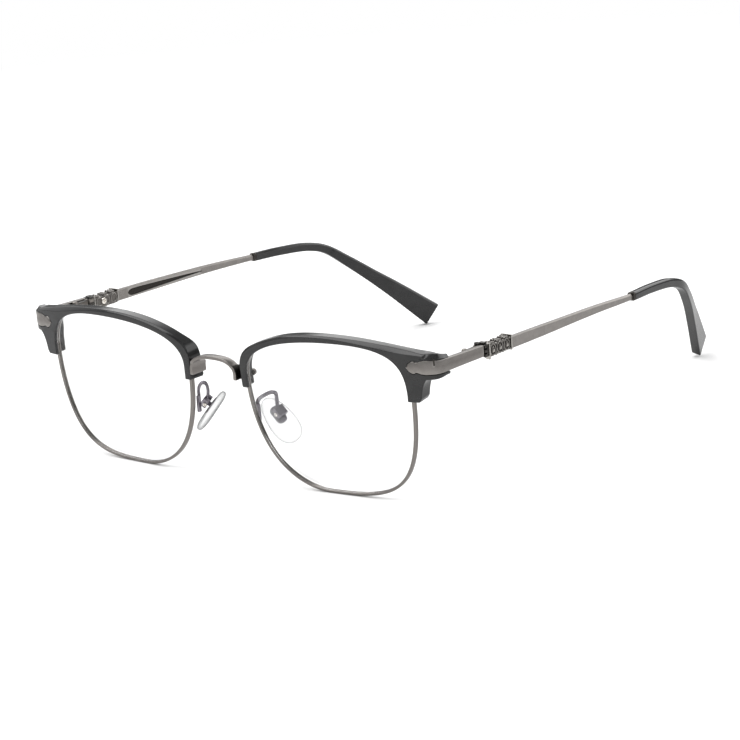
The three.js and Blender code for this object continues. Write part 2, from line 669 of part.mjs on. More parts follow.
const glasses = new THREE.Group();
add(glasses, "bridge", bridge(), gunmetal());
const rightSide = buildSide("right");
rightSide.scale.x = -1;
glasses.add(buildSide("left"), rightSide);
glasses.position.y = -MIDDLE;

export default glasses;
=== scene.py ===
"""Browline eyeglasses: the visible surfaces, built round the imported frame.

Shapes are made in millimetres along the frame's axes (+X to the wearer's left, -Y out of the front, +Z up),
with y = 0 at the front of the lenses, and moved into the frame when they become pieces. Everything but the
bridge is made for the left side and mirrored.
"""

import json
import math

import bmesh
import bpy
import numpy as np
from mathutils import Matrix, Vector


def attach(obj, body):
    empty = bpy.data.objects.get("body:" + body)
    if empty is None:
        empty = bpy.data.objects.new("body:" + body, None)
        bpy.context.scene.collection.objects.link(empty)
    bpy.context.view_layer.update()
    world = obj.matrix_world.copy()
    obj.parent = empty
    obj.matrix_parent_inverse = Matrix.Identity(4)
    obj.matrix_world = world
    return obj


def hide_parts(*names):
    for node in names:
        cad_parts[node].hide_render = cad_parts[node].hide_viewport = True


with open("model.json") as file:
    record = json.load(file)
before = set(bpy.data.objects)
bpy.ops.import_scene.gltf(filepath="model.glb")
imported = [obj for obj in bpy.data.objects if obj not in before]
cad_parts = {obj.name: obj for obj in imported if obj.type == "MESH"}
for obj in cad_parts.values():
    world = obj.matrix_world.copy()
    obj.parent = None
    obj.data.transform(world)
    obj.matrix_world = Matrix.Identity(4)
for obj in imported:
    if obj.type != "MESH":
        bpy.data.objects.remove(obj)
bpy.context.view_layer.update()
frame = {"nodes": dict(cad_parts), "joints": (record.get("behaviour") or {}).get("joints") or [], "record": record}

# ---- Driving dimensions, as in the CAD ----
MM = 0.001
ORIGIN = np.array([0, -77.7, 0])  # where the front's y = 0 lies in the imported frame
LENS_WIDTH = 51
LENS_HEIGHT = 42.5
LENS_DISTANCE = 20
LENS_RADIUS = 217  # base curve
LENS_THICKNESS = 1.2
WRAP = math.radians(4)  # turn of each lens about the vertical
TILT = math.radians(5.9)  # lean of the lenses
LENS_CENTRE = np.array([(LENS_WIDTH + LENS_DISTANCE) / 2, -0.2, 21.5])

# Sections are measured outwards from the eye shape, and back from the plane of the lens.
RIM_INSIDE = -0.3
RIM_OUTSIDE = 0.5
RIM_FRONT = -0.6
RIM_BACK = 0.8
RIM_SPLIT = 0.016  # where the rim is cut, as a share of its length

BROW_FRONT = -1.6
BROW_BACK = 1.8
BROW_DEEPER = 1  # more depth at the two feet
BROW_OVERHANG = 0.73  # how far the front laps over the lens

END_THICKNESS = 1.45
END_SIDE = 69.45  # half the width over the end pieces
BAR_THICKNESS = 1.3
TEMPLE_LENGTH = 148  # from the hinge, along the temple
BAR_START = 27.6
BAR_END = 94.5

PAD_CENTRE = np.array([11.8, 8.2, 15.8])
PAD_ANGLES = [math.radians(a) for a in (18, -38, -26)]  # about x, y and z
PAD_HEIGHT = 14.2
PAD_WIDTH = 8.2
PAD_THICKNESS = 2.2

FOLD = next(joint for joint in frame["joints"] if joint["name"] == "left_temple_fold")
HINGE = np.array(FOLD["pos_m"]) / MM - ORIGIN
UP = np.array([0.0, 0.0, 1.0])


# ---- Small maths ----
def unit(v):
    v = np.asarray(v, float)
    return v / np.linalg.norm(v, axis=-1, keepdims=True)


def smoothstep(x, low, high):
    t = np.clip((np.asarray(x, float) - low) / (high - low), 0, 1)
    return t * t * (3 - 2 * t)


def bezier(*points, count=24):
    """Points along a Bezier curve of any degree."""
    points = np.array(points, float)
    t = np.linspace(0, 1, count + 1)[:, None]
    degree = len(points) - 1
    return sum(math.comb(degree, i) * t**i * (1 - t) ** (degree - i) * p for i, p in enumerate(points))


def hermite(t, start, leaving, end, arriving):
    """The cubic from start to end with given slopes at both."""
    return (
        start * (2 * t**3 - 3 * t**2 + 1) + leaving * (t**3 - 2 * t**2 + t)
        + end * (3 * t**2 - 2 * t**3) + arriving * (t**3 - t**2)
    )


def spline(points):
    """A smooth curve through points (centripetal Catmull-Rom)."""
    points = np.array(points, float)
    ends = [2 * points[0] - points[1], *points, 2 * points[-1] - points[-2]]
    out = []
    for a, b, c, d in zip(ends, ends[1:], ends[2:], ends[3:]):
        s, m, e = [max(np.linalg.norm(q - p) ** 0.5, 1e-6) for p, q in ((a, b), (b, c), (c, d))]
        leaving = ((b - a) / s - (c - a) / (s + m) + (c - b) / m) * m
        arriving = ((c - b) / m - (d - b) / (m + e) + (d - c) / e) * m
        t = np.linspace(0, 1, 60, endpoint=False)[:, None]
        out.append(hermite(t, b, leaving, c, arriving))
    return np.vstack([*out, points[-1:]])


class Path:
    """A polyline read by distance along it, and straight on past its ends."""

    def __init__(self, points):
        self.points = np.array(points, float)
        steps = np.linalg.norm(np.diff(self.points, axis=0), axis=1)
        self.at = np.concatenate([[0], np.cumsum(steps)])
        self.length = self.at[-1]

    def point(self, place):
        inside = np.clip(place, 0, self.length)
        start, end = unit(self.points[1] - self.points[0]), unit(self.points[-1] - self.points[-2])
        point = np.stack([np.interp(inside, self.at, c) for c in self.points.T], axis=-1)
        over = np.asarray(place, float) - inside
        before = np.multiply.outer(np.minimum(over, 0), start)
        after = np.multiply.outer(np.maximum(over, 0), end)
        return point + before + after

    def tangent(self, place):
        step = 0.15
        return unit(self.point(place + step) - self.point(place - step))


def runs(*spans):
    """Even steps in several runs, each given as (start, end, count)."""
    return np.concatenate([np.linspace(*span) for span in spans])


def read(table, place):
    """Smooth reading of a table of (place, value) pairs: monotone between neighbours."""
    at, value = np.array(table, float).T
    place = np.clip(place, at[0], at[-1])
    i = np.clip(np.searchsorted(at, place) - 1, 0, len(at) - 2)
    slope = np.diff(value) / np.diff(at)
    before, after = slope[:-1], slope[1:]
    inner = np.where(after * before > 0, 2 * after * before / (after + before + 1e-12), 0)
    ends = np.concatenate([[slope[0]], inner, [slope[-1]]])
    step = at[i + 1] - at[i]
    t = (place - at[i]) / step
    return hermite(t, value[i], ends[i] * step, value[i + 1], ends[i + 1] * step)


# ---- Shapes: (points, faces) in millimetres ----
def rounded(corners, steps=4):
    """An outline from (x, y, radius) corners, each radius made as an arc of steps + 1 points."""
    out = []
    for i, (x, y, radius) in enumerate(corners):
        here = np.array([x, y], float)
        if not radius:
            out.append(here)
            continue
        before = np.array(corners[i - 1][:2]) - here
        after = np.array(corners[(i + 1) % len(corners)][:2]) - here
        room = 0.48 * min(np.linalg.norm(before), np.linalg.norm(after))
        before, after = unit(before), unit(after)
        half = math.acos(np.clip(before @ after, -1, 1)) / 2
        reach = min(radius / math.tan(half), room)
        centre = here + unit(before + after) * reach / math.cos(half)
        start, end = here + before * reach - centre, here + after * reach - centre
        sweep_angle = math.atan2(start[0] * end[1] - start[1] * end[0], start @ end)
        for t in np.linspace(0, sweep_angle, steps + 1):
            c, s = math.cos(t), math.sin(t)
            out.append(centre + [start[0] * c - start[1] * s, start[0] * s + start[1] * c])
    return np.array(out)


def plate(width, height, radius, steps=4):
    """A rounded rectangle about the origin."""
    a, b = width / 2, height / 2
    return rounded([(a, -b, radius), (a, b, radius), (-a, b, radius), (-a, -b, radius)], steps)


def circle(radius, sides):
    turn = np.linspace(0, 2 * math.pi, sides, endpoint=False)
    return radius * np.stack([np.cos(turn), np.sin(turn)], axis=1)


def loft(rings, closed=False, edge=0.0):
    """A skin over rings of equally many points. Open ends are capped, with their edges rounded by edge."""
    rings = [np.asarray(r, float) for r in rings]
    if edge and not closed:
        rings = round_off(rings[::-1], edge)[::-1]
        rings = round_off(rings, edge)
    size, count = len(rings[0]), len(rings)
    faces = []
    for i in range(count if closed else count - 1):
        here, there = i * size, (i + 1) % count * size
        for j in range(size):
            k = (j + 1) % size
            faces.append((here + j, here + k, there + k, there + j))
    if not closed:
        faces.append(tuple(range(size)))
        faces.append(tuple(range((count - 1) * size, count * size)))
    return np.vstack(rings), faces


def round_off(rings, edge):
    """Adds rings past the last one that draw in towards its middle."""
    last = rings[-1]
    middle = last.mean(0)
    out = unit(middle - rings[-2].mean(0))
    inwards = unit(middle - last)
    more = [last + out * edge * math.sin(t) + inwards * edge * (1 - math.cos(t))
            for t in np.radians([22, 45, 67, 90])]
    return [*rings, *more]


def sweep(path, places, section, edge=0.0, across=None, twist=None):
    """A section swept along a path. section(place) gives [across, up] points."""
    rings = []
    for place in places:
        centre, tangent = path.point(place), path.tangent(place)
        side = unit(np.cross(tangent, UP)) if across is None else unit(across)
        up = unit(np.cross(side, tangent))
        if twist is not None:
            c, s = math.cos(twist(place)), math.sin(twist(place))
            side, up = side * c + up * s, up * c - side * s
        points = np.asarray(section(place))
        rings.append(centre + points[:, :1] * side + points[:, 1:] * up)
    return loft(rings, edge=edge)


def turned(profile, axis="z", at=(0, 0, 0), sides=32):
    """A solid of revolution. profile holds (radius, height) pairs from one pole to the other."""
    ring = circle(1, sides)
    rings = [np.column_stack([ring * max(r, 1e-3), np.full(sides, h)]) for r, h in profile]
    points, faces = loft(rings)
    if axis == "x":
        points = points[:, [2, 0, 1]]
    if axis == "y":
        points = points[:, [0, 2, 1]]
    return points + np.array(at, float), faces


def block(x, y, z, at=(0, 0, 0), radius=0.15):
    """A box with rounded edges."""
    outline = plate(x, y, radius)
    rings = [np.column_stack([outline, np.full(len(outline), h)]) for h in (radius - z / 2, z / 2 - radius)]
    points, faces = loft(rings, edge=radius)
    return points + np.array(at, float), faces


def ball(radii, at=(0, 0, 0), sides=20):
    """An ellipsoid."""
    angles = np.radians(np.linspace(-89, 89, sides // 2 + 1))
    points, faces = turned([(math.cos(a), math.sin(a)) for a in angles], sides=sides)
    return points * np.array(radii) + np.array(at, float), faces


def merged(*shapes):
    """Shapes as one list of points and faces, not yet fused."""
    points, faces, offset = [], [], 0
    for p, f in shapes:
        points.append(p)
        faces += [tuple(i + offset for i in face) for face in f]
        offset += len(p)
    return np.vstack(points), faces


def moved(shape, place):
    """A shape whose points are put through place."""
    return place(shape[0]), shape[1]


def at_hinge(shape):
    """From measures taken from the left hinge's axis, into the frame."""
    return moved(shape, lambda points: points + HINGE)


def add_object(name, data):
    result = bpy.data.objects.new(name, data)
    bpy.context.scene.collection.objects.link(result)
    return result


def as_object(shape, name="work"):
    """A Blender object from a shape, with its faces turned outwards."""
    mesh = bpy.data.meshes.new(name)
    mesh.from_pydata(np.asarray(shape[0], float).tolist(), [], [tuple(map(int, f)) for f in shape[1]])
    work = bmesh.new()
    work.from_mesh(mesh)
    bmesh.ops.remove_doubles(work, verts=work.verts, dist=1e-5)
    bmesh.ops.recalc_face_normals(work, faces=work.faces)
    work.to_mesh(mesh)
    work.free()
    return add_object(name, mesh)


def evaluated_shape(source):
    """The shape of an object with its modifiers, which is then removed."""
    graph = bpy.context.evaluated_depsgraph_get()
    mesh = bpy.data.meshes.new_from_object(source.evaluated_get(graph))
    points = np.zeros(len(mesh.vertices) * 3)
    mesh.vertices.foreach_get("co", points)
    faces = [tuple(p.vertices) for p in mesh.polygons]
    bpy.data.meshes.remove(mesh)
    bpy.data.objects.remove(source)
    return points.reshape(-1, 3), faces


def combine(operation, base, tools):
    for tool in tools:
        work, other = as_object(base), as_object(tool)
        modifier = work.modifiers.new("combine", "BOOLEAN")
        modifier.operation = operation
        modifier.solver = "EXACT"
        modifier.object = other
        base = evaluated_shape(work)
        bpy.data.objects.remove(other)
    return base


def join(base, *tools):
    return combine("UNION", base, tools)


def cut(base, *tools):
    return combine("DIFFERENCE", base, tools)


def cast(shape, voxel):
    """Fuses overlapping shapes into one soft-edged skin, as a casting has."""
    work = as_object(shape)
    remesh = work.modifiers.new("remesh", "REMESH")
    remesh.mode = "VOXEL"
    remesh.voxel_size = voxel
    smooth = work.modifiers.new("smooth", "SMOOTH")
    smooth.factor = 0.5
    smooth.iterations = 2
    return evaluated_shape(work)


# ---- Pieces ----
def piece(name, shape, body, material, nodes=(), sharp=38, mirror=False):
    """A visible piece that rides on a body and stands for CAD nodes."""
    points, faces = shape
    points = (np.array(points, float) + ORIGIN) * MM
    if mirror:
        points = points * [-1, 1, 1]
    result = as_object((points, faces), name)
    mesh = result.data
    mesh.shade_smooth()
    mesh.set_sharp_from_angle(angle=math.radians(sharp))
    mesh.materials.append(material)
    weighted = result.modifiers.new("weighted", "WEIGHTED_NORMAL")
    weighted.keep_sharp = True
    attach(result, body)
    if nodes:
        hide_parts(*nodes)


def pair(name, shape, body, material, node=None, sharp=38):
    """The left piece and its mirror image. In body, SIDE stands for left or right."""
    for side in ("left", "right"):
        nodes = [f"{side}_{node}"] if node else []
        own_body = body.replace("SIDE", side)
        piece(f"{side}_{name}", shape, own_body, material, nodes, sharp, mirror=side == "right")


# ---- Materials ----
class Nodes:
    """Builds the nodes of a material or a world."""

    def __init__(self, owner, output="OutputMaterial"):
        self.owner = owner
        owner.use_nodes = True
        self.tree = owner.node_tree
        self.tree.nodes.clear()
        self.output = self.add(output)

    def add(self, kind, settings=None, **inputs):
        """A shader node. An input is given by its name, or as _ and its number."""
        node = self.tree.nodes.new("ShaderNode" + kind)
        for key, value in (settings or {}).items():
            setattr(node, key, value)
        for key, value in inputs.items():
            socket = node.inputs[int(key[1:])] if key[0] == "_" else node.inputs[key.replace("_", " ")]
            if isinstance(value, bpy.types.NodeSocket):
                self.tree.links.new(value, socket)
            else:
                socket.default_value = value
        return node

    def out(self, kind, settings=None, socket=0, **inputs):
        """The output of a new node."""
        return self.add(kind, settings, **inputs).outputs[socket]

    def position(self, stretch=(1, 1, 1)):
        """Object coordinates in millimetres, stretched along the axes."""
        coordinates = self.out("TexCoord", socket="Object")
        return self.out("Mapping", Vector=coordinates, Scale=tuple(s / MM for s in stretch))

    def noise(self, scale, detail=3, roughness=0.5, stretch=(1, 1, 1)):
        place = self.position(stretch)
        return self.out("TexNoise", Vector=place, Scale=scale, Detail=detail, Roughness=roughness)

    def spread(self, value, low, high, out_low=0, out_high=1):
        """Turns the range from low to high into the range from out_low to out_high, and stops there."""
        return self.out("MapRange", _0=value, _1=low, _2=high, _3=out_low, _4=out_high)

    def mix(self, factor, first, second):
        """A blend of two colours."""
        first, second = (c if isinstance(c, bpy.types.NodeSocket) else (*c, 1) for c in (first, second))
        return self.out("Mix", {"data_type": "RGBA"}, 2, _0=factor, _6=first, _7=second)

    def bump(self, height, distance):
        return self.out("Bump", Strength=1.0, Distance=distance * MM, Height=height)

    def finish(self, shader):
        self.tree.links.new(shader, self.output.inputs[0])
        return self.owner


def new_material(name):
    return Nodes(bpy.data.materials.new(name))


def acetate():
    """Polished black acetate: faint cloudy streaks, fine scratches and uneven polish."""
    n = new_material("black_acetate")
    cloud = n.noise(0.35, 4, stretch=(1, 0.5, 1))
    color = n.mix(n.spread(cloud, 0.35, 0.65), (0.011, 0.0112, 0.0115), (0.017, 0.0172, 0.0175))
    polish = n.noise(1.3, 5, 0.6)
    rough = n.spread(polish, 0.3, 0.7, 0.08, 0.15)
    scratches = n.noise(9, 4, 0.7, (1, 0.12, 1))
    bump = n.bump(scratches, 0.003)
    return n.finish(n.out("BsdfPrincipled", Base_Color=color, Roughness=rough, IOR=1.49, Normal=bump))


def metal(name, color, rubbed_and_highlight_color, rough, stretch=(1, 1, 1), edge=(0.5, 0.54)):
    """Satin plated metal: brushed along the part, lighter on its edges, partly where they are rubbed and partly as
    a painted highlight.
    """
    n = new_material(name)
    # Convex edges blend to a lighter colour: partly wear, partly a painted highlight for the light that bevelled
    # edges catch.
    rub_and_highlight = n.spread(n.out("NewGeometry", socket="Pointiness"), *edge)
    blotch = n.noise(0.6)
    base = n.mix(n.spread(blotch, 0.35, 0.65), color, tuple(c * 0.86 for c in color))
    shade = n.mix(rub_and_highlight, base, rubbed_and_highlight_color)
    grain = n.noise(14, 3, 0.6, stretch)
    polish, bump = n.spread(grain, 0.3, 0.7, rough - 0.05, rough + 0.07), n.bump(grain, 0.003)
    return n.finish(n.out("BsdfPrincipled", Base_Color=shade, Metallic=1.0, Roughness=polish, Normal=bump))


def carved_metal():
    """Oxidised casting: black in its hollows, rubbed bright on what stands proud, with a painted highlight on its
    edges.
    """
    n = new_material("oxidised_steel")
    depth = n.out("AmbientOcclusion", {"samples": 6}, "AO", Distance=0.55 * MM)
    # Brighter on convex edges: partly rubbing, partly a painted highlight for the light the edges catch.
    rub_and_highlight = n.spread(n.out("NewGeometry", socket="Pointiness"), 0.515, 0.575)
    patina = n.noise(3.5, 4, 0.6)
    hollow = n.mix(n.spread(depth, 0.45, 0.95), (0.006, 0.0055, 0.005), (0.19, 0.178, 0.166))
    face = n.mix(n.spread(patina, 0.35, 0.7, 0, 0.4), hollow, (0.04, 0.037, 0.034))
    shade = n.mix(rub_and_highlight, face, (0.85, 0.82, 0.78))
    polish, bump = n.spread(patina, 0.3, 0.7, 0.26, 0.42), n.bump(patina, 0.02)
    return n.finish(n.out("BsdfPrincipled", Base_Color=shade, Metallic=1.0, Roughness=polish, Normal=bump))


def clear_lens():
    """A clear, coated lens: mostly see-through, with a faint reflection and a few smudges."""
    n = new_material("clear_lens")
    smudge = n.noise(0.12, 4)
    rough = n.spread(smudge, 0.4, 0.7, 0.0, 0.05)
    mirror = n.out("BsdfGlossy", Color=(0.97, 0.98, 1.0, 1), Roughness=rough)
    through = n.out("BsdfTransparent", Color=(0.997, 0.998, 0.997, 1))
    share = n.spread(n.out("Fresnel", IOR=1.38), 0, 1, 0.0, 0.22)
    return n.finish(n.out("MixShader", _0=share, _1=through, _2=mirror))


def silicone():
    """Clear silicone, painted grey where the eye looks along its skin, with soft highlights."""
    n = new_material("clear_silicone")
    cloud = n.noise(0.5)
    facing = n.out("LayerWeight", socket="Facing", Blend=0.5)
    # Painted shade: the see-through colour darkens to grey towards grazing view, for the darker edge the pad
    # shows.
    grazing_grey = n.mix(n.spread(facing, 0.3, 0.92), (0.9, 0.9, 0.9), (0.3, 0.31, 0.31))
    through = n.out("BsdfTransparent", Color=grazing_grey)
    rough, bump = n.spread(cloud, 0.3, 0.7, 0.16, 0.28), n.bump(n.noise(2.5), 0.01)
    skin = n.out("BsdfPrincipled", Base_Color=(0.5, 0.5, 0.5, 1), Roughness=rough, IOR=1.41, Normal=bump)
    share = n.spread(facing, 0.1, 0.9, 0.06, 0.22)
    return n.finish(n.out("MixShader", _0=share, _1=through, _2=skin))


ALONG_TEMPLE = (1, 0.06, 1)
GUNMETAL = metal("gunmetal", (0.2, 0.186, 0.175), (0.4, 0.38, 0.36), 0.3, ALONG_TEMPLE)
BAR_METAL = metal("bar_gunmetal", (0.27, 0.252, 0.238), (0.45, 0.43, 0.41), 0.3, ALONG_TEMPLE)
RIM_METAL = metal("rim_gunmetal", (0.15, 0.138, 0.128), (0.3, 0.28, 0.265), 0.26, (0.4, 1, 0.4))
BRIGHT = metal("bright_screw", (0.72, 0.66, 0.58), (0.9, 0.86, 0.8), 0.2)
DARK = metal("dark_steel", (0.06, 0.055, 0.05), (0.25, 0.23, 0.21), 0.3)
BLACKENED = metal("blackened_steel", (0.02, 0.019, 0.018), (0.08, 0.075, 0.07), 0.35)
# Black for the two linings: painted shade in the end piece's slot, and the dark strip in the bar's hollow.
BLACK_LINING = metal("black_lining", (0.025, 0.023, 0.022), (0.06, 0.055, 0.05), 0.25, (1, 0.1, 1))
PAD_METAL = metal("pad_metal", (0.075, 0.068, 0.082), (0.28, 0.26, 0.29), 0.22)
# Lighter edges for the sleeve's plates and studs: partly wear, partly a painted highlight on their bevels.
RUBBED_AND_HIGHLIT = metal("rubbed_and_highlit_steel", (0.2, 0.19, 0.178), (0.5, 0.48, 0.45), 0.25, edge=(0.51, 0.55))
CARVED = carved_metal()
ACETATE = acetate()
LENS = clear_lens()
SILICONE = silicone()


# ---- The eye shape, in the plane of the lens: u to the temple, v up ----
HALF = LENS_WIDTH / 2 + 0.1
TEMPORAL = np.array([HALF, 8])
TOP = np.array([4, LENS_HEIGHT / 2 + 0.1])
NASAL = np.array([-HALF, 9.7])
BOTTOM = np.array([-3.5, 0.06 - LENS_HEIGHT / 2])


def eye_curve():
    """Four Bezier quarters; each number is how far a handle reaches to the corner of its box."""

    def quarter(a, b, corner, reach_a, reach_b):
        corner = np.array(corner)
        return bezier(a, a + (corner - a) * reach_a, b + (corner - b) * reach_b, b, count=300)[:-1]

    return Path(np.vstack([
        quarter(TEMPORAL, TOP, (TEMPORAL[0], TOP[1]), 0.76, 0.71),
        quarter(TOP, NASAL, (NASAL[0], TOP[1]), 0.46, 0.79),
        quarter(NASAL, BOTTOM, (NASAL[0], BOTTOM[1]), 1, 0.07),
        quarter(BOTTOM, TEMPORAL, (TEMPORAL[0], BOTTOM[1]), 0.62, 1),
        [TEMPORAL],
    ]))


EYE = eye_curve()


def eye(share):
    """A point of the eye shape at a share of its length, and the outward direction there."""
    place = (share % 1) * EYE.length
    step = 0.2
    before = EYE.point((place - step) % EYE.length)
    after = EYE.point((place + step) % EYE.length)
    along = unit(after - before)
    return EYE.point(place), np.array([along[1], -along[0]])


def from_lens(points):
    """From the lens frame (u, depth, v), bent to the base curve, into the frame."""
    u, w, v = np.asarray(points, float).T
    w = w + (u**2 + v**2) / (2 * LENS_RADIUS)
    y, z = w * math.cos(TILT) - v * math.sin(TILT), w * math.sin(TILT) + v * math.cos(TILT)
    x, y = u * math.cos(WRAP) - y * math.sin(WRAP), u * math.sin(WRAP) + y * math.cos(WRAP)
    return np.stack([x, y, z], axis=-1) + LENS_CENTRE


def eye_ring(section, point, out):
    """A section of (outwards, depth) points, stood on a point of the eye shape."""
    flat = point + section[:, :1] * out
    return from_lens(np.column_stack([flat[:, 0], section[:, 1], flat[:, 1]]))


# ---- Rim and lens ----
def rim():
    """Wire with a groove for the lens, cut through at the temple side."""
    groove = [(RIM_INSIDE, -0.2, 0), (RIM_INSIDE + 0.25, 0.1, 0), (RIM_INSIDE, 0.4, 0)]
    section = rounded([
        (RIM_INSIDE, RIM_FRONT, 0.2), *groove, (RIM_INSIDE, RIM_BACK, 0.2),
        (RIM_OUTSIDE, RIM_BACK, 0.32), (RIM_OUTSIDE, RIM_FRONT, 0.32),
    ])
    half_cut = 0.001
    shares = np.linspace(RIM_SPLIT + half_cut, 1 + RIM_SPLIT - half_cut, 300)
    return loft([eye_ring(section, *eye(share)) for share in shares])


def lens():
    """Curved lens with bevelled faces and an edge pointed to sit in the groove."""
    shares = np.linspace(0, 1, 180, endpoint=False)
    places = [eye(share) for share in shares]
    middle, edge, bevel = 0.1, 0.4, 0.12
    half = LENS_THICKNESS / 2

    def ring(scale, offset, depth):
        flat = np.array([(point + offset * out) * scale for point, out in places])
        return from_lens(np.column_stack([flat[:, 0], np.full(len(flat), depth), flat[:, 1]]))

    scales = [0.02, 0.2, 0.4, 0.6, 0.8, 0.95]
    rings = [ring(s, -edge - bevel, middle - half) for s in scales]
    rings += [
        ring(1, -edge - bevel, middle - half), ring(1, -edge, middle - half + bevel),
        ring(1, -edge, middle - 0.25), ring(1, RIM_INSIDE + 0.18, middle), ring(1, -edge, middle + 0.25),
        ring(1, -edge, middle + half - bevel), ring(1, -edge - bevel, middle + half),
    ]
    rings += [ring(s, -edge - bevel, middle + half) for s in scales[::-1]]
    return loft(rings)


# ---- Metal end piece ----
END_POINT = (61.1, 0.2, 37.3)
END_BEND = [(65.6, 1.2, 37.45), (68.6, 1.9, 37.55), (END_SIDE, 3.2, 37.5), (END_SIDE, 6, 37.4)]
END_BACK = (END_SIDE, 22.15, 36.95)
END_PLAN = Path(np.vstack([[END_POINT], bezier(*END_BEND), [END_BACK]]))
END_HEIGHT = [
    (0, 0.4), (0.25, 1.3), (0.7, 2.25), (1.3, 2.95), (1.7, 3.2), (2, 3.15), (2.45, 2.72), (2.9, 2.75),
    (3.6, 3.2), (5, 3.7), (9, 3.6), (14, 3.35), (30, 2.95),
]


def end_piece(grow=0.0):
    """Arrow-tipped strip that turns the corner back to the hinge, or the room for it, larger by grow."""
    places = runs((0, 5, 60), (5.2, 14, 40), (14.5, END_PLAN.length, 20))

    def section(place):
        b = read(END_HEIGHT, place) / 2 + grow
        if grow:
            return plate(END_THICKNESS + 2 * grow, 2 * b, 0.02) - [END_THICKNESS / 2, 0]
        edge, drop = min(0.22, b / 2), 0.12
        return rounded([
            (-END_THICKNESS, -b, edge), (-drop, -b, edge), (0.02, 0, 3),
            (-drop, b, edge), (-END_THICKNESS, b, edge),
        ])

    return sweep(END_PLAN, places, section, edge=0 if grow else 0.12)


def at_notch(shape):
    """Stands a shape across the strip where it turns the corner."""
    turn = np.array(Matrix.Rotation(0.85, 3, "Z"))
    place = [68.45, 2.25, 38.9]
    return moved(shape, lambda points: points @ turn.T + place)


def notched_end_piece():
    """The end piece with the short slot in the top of its corner."""
    return cut(end_piece(), at_notch(block(0.45, 1.3, 1.9)))


def notch_painted_shade():
    """Black block at the bottom of the slot: painted shade for the shadow inside it."""
    return at_notch(block(0.44, 0.25, 1.85, (0, 0.42, 0), 0.05))


# ---- Brow ----
FOOT_NASAL = 5.2
FOOT_TEMPORAL = 6.5


def brow_outline(back):
    """Outer edge of the front face (back 0) or the rear face (back 1), from the nasal foot to the lug."""
    spread, fall = 0.8 * back, 0.2 * back
    return np.vstack([
        bezier((-24.5, FOOT_NASAL), (-26.7 - spread, FOOT_NASAL - 0.1), (-26.8 - spread, FOOT_NASAL + 1.2)),
        bezier((-27 - spread / 2, 10.5), (-27.2, 15.6 - fall), (-24.2, 17 - fall), (-20.2, 18.7 - fall)),
        bezier((-20.2, 18.7 - fall), (-13.5, 21.4 - fall), (-7, 22.4 - fall), (1, 22.4 - fall)),
        bezier((1, 22.4 - fall), (11, 22.4 - fall), (18, 21.3 - fall), (30.6, 19.1)),
        bezier((30.9, 12.9), (29.8, 12), (29.2, 10.4), (28.8, FOOT_TEMPORAL + 0.9)),
        bezier((28.7, FOOT_TEMPORAL + 0.9), (28.4, FOOT_TEMPORAL), (27.4, FOOT_TEMPORAL)),
        [(24, FOOT_TEMPORAL + 0.1)],
    ])


def reach(point, out, outline):
    """Distance from a point, going out, to the first crossing of an outline."""
    a, b = outline[:-1], outline[1:]
    step = b - a
    cross = out[0] * step[:, 1] - out[1] * step[:, 0]
    cross = np.where(np.abs(cross) < 1e-9, 1e-9, cross)
    gap = a - point
    distance = (gap[:, 0] * step[:, 1] - gap[:, 1] * step[:, 0]) / cross
    share = (gap[:, 0] * out[1] - gap[:, 1] * out[0]) / cross
    hits = distance[(share >= 0) & (share <= 1) & (distance > 0.3)]
    return hits.min()


def brow_body():
    """The brow over the lens, from the lug to the nasal foot, hollowed behind for the rim."""
    front, back = brow_outline(0), brow_outline(1)
    shares = runs((-0.0072, 0.012, 14), (0.0125, 0.09, 110), (0.091, 0.432, 210))
    shelf = 0.1  # how far out the part behind the rim starts
    room = 0.05
    rings = []
    for share in shares:
        point, out = eye(share)
        wide, wide_back = reach(point, out, front), reach(point, out, back)
        deep = BROW_BACK + BROW_DEEPER * (1 - smoothstep(point[1], 12.8, 16.5))
        upward = smoothstep(out[1], 0.3, 0.8)
        slope = 0.2 + upward * (0.3 + 0.6 * smoothstep(point[0], 0, 24))  # bevel along the top of the front
        section = rounded([
            (-BROW_OVERHANG, BROW_FRONT, 0.28), (wide - slope, BROW_FRONT, 0.25),
            (wide, BROW_FRONT + slope * 0.85, 0.25), (wide_back, deep, 0.45),
            (shelf, deep, 0.5), (shelf, RIM_BACK + room, 0), (RIM_OUTSIDE + room, RIM_BACK + room, 0),
            (RIM_OUTSIDE + room, RIM_FRONT - room, 0), (-BROW_OVERHANG, RIM_FRONT - room, 0.15),
        ])
        rings.append(eye_ring(section, point, out))
    return loft(rings, edge=0.3)


def brow_corner():
    """The brow's outer corner, which turns back behind the end piece and shows above and below it."""
    top = [(3.4, 40.7), (5, 40.8), (8, 40.8), (13.2, 39.9)]
    bottom = [(3.4, 34.3), (5, 34.2), (8, 34.3), (12.3, 34.7)]
    depth = [(3.4, 2.9), (7, 2.7), (13.2, 1.35)]
    inset, lean = 0.15, 0.03
    slope = 1.1  # bevel along the top

    def section(place):
        low, high, thick = read(bottom, place), read(top, place), read(depth, place)
        rear = high + 0.35 * (1 - smoothstep(place, 7, 12))
        corners = [
            (0, low, 0.45), (0, high - slope, 0.25), (-slope * 0.85, high, 0.25), (-thick, rear, 0.2),
            (-thick, low, 0.4),
        ]
        middle = END_PLAN.point(place)[2]
        slant = lean * (1 - smoothstep(place, 5, 10))
        return np.array([[a - inset + slant * (z - middle), z - middle] for a, z in rounded(corners)])

    return sweep(END_PLAN, np.linspace(3.7, 13.1, 64), section, edge=0.25)


def brow():
    """The whole brow, cut out for the end piece, the bridge's plate and the closing block."""
    seat = block(1.9, 8, 7, (6.9, 0, 31.1), 0.05)
    low, high = CLOSING_BOX
    size, middle = high - low + 0.1, (low + high) / 2
    pocket = moved(block(*size, middle, 0.03), from_lens)
    body = join(brow_body(), brow_corner())
    return cut(body, end_piece(0.16), seat, pocket)


